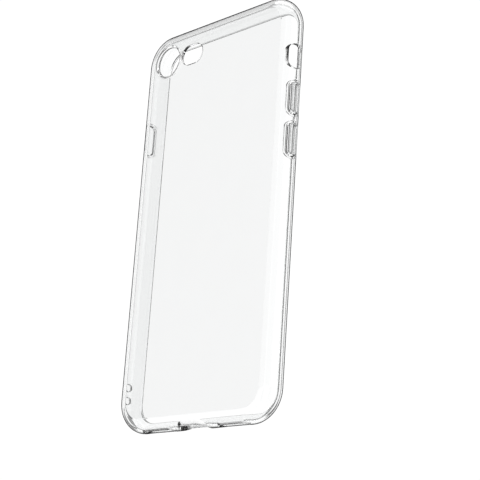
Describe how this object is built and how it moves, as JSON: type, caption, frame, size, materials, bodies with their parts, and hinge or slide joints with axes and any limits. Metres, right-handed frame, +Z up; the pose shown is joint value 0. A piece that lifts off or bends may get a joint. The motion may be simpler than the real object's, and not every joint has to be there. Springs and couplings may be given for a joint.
{
  "type": "phone case",
  "caption": "Clear clip-on phone case: a stiff back in a flexible C-section bumper with lip, sprung button covers, camera collar, switch, port and lanyard openings.",
  "frame": {"origin": "centre of the pocket's floor, the inner face of the back that the phone's back rests on", "axes": "+Z up the case to its camera end, +Y out of the pocket to the phone's screen, +X to the side with the volume buttons"},
  "size_m": [0.0708, 0.0096, 0.141],
  "materials": {
    "clear_plate": "polished clear polycarbonate",
    "clear_flex": "glossy clear thermoplastic polyurethane",
    "clear_button": "glossy clear thermoplastic polyurethane, thicker",
    "clear_collar": "polished clear collar with a flared edge"
  },
  "bodies": {
    "case": {"back_plate": "clear_plate", "bumper_frame": "clear_flex", "camera_ring": "clear_collar", "volume_up_web": "clear_flex", "volume_down_web": "clear_flex", "power_web": "clear_flex"},
    "volume_up": {"volume_up_button": "clear_button"},
    "volume_down": {"volume_down_button": "clear_button"},
    "power": {"power_button": "clear_button"}
  },
  "joints": [
    {"name": "volume_up_press", "type": "slide", "parent": "case", "child": "volume_up", "axis": [-1, 0, 0], "range_m": [0, 0.00035], "stiffness_N_per_m": 6000, "deforming": ["volume_up_web"]},
    {"name": "volume_down_press", "type": "slide", "parent": "case", "child": "volume_down", "axis": [-1, 0, 0], "range_m": [0, 0.00035], "stiffness_N_per_m": 6000, "deforming": ["volume_down_web"]},
    {"name": "power_press", "type": "slide", "parent": "case", "child": "power", "axis": [1, 0, 0], "range_m": [0, 0.00035], "stiffness_N_per_m": 6000, "deforming": ["power_web"]}
  ]
}
